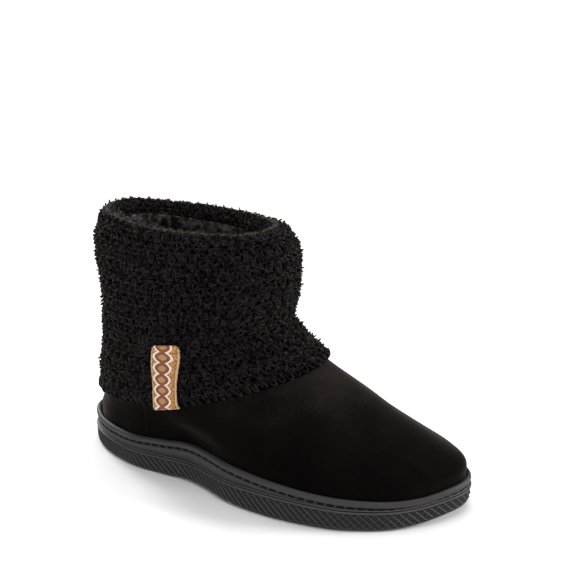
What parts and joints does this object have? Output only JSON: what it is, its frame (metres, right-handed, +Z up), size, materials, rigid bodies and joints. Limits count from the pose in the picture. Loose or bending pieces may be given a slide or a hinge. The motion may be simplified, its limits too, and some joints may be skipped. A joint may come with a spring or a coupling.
{
  "type": "bootie slipper",
  "caption": "Ankle-high house bootie: suede upper in a moulded rubber cup sole, with a knitted fold-over cuff, a woven side tab and a soft warm inside.",
  "frame": {"origin": "on the floor under the centre of the heel, where the sole rests", "axes": "+X to the toe, +Y to the inner (medial) side of this right shoe, +Z up"},
  "size_m": [0.264, 0.101, 0.1693],
  "materials": {
    "outsole": "dark grey moulded rubber, satin lip and wall, fine relief on the lower band",
    "insole": "black plush sock on a foam board",
    "upper": "black suede with a short nap, plush lined",
    "cuff": "charcoal chunky knit with a brushed surface",
    "side_tab": "tan woven ribbon with cream and brown ornament",
    "heel_label": "plain beige woven tape"
  },
  "bodies": {
    "root": {"outsole": "outsole", "insole": "insole", "upper": "upper", "cuff": "cuff", "side_tab": "side_tab", "heel_label": "heel_label"}
  },
  "joints": []
}
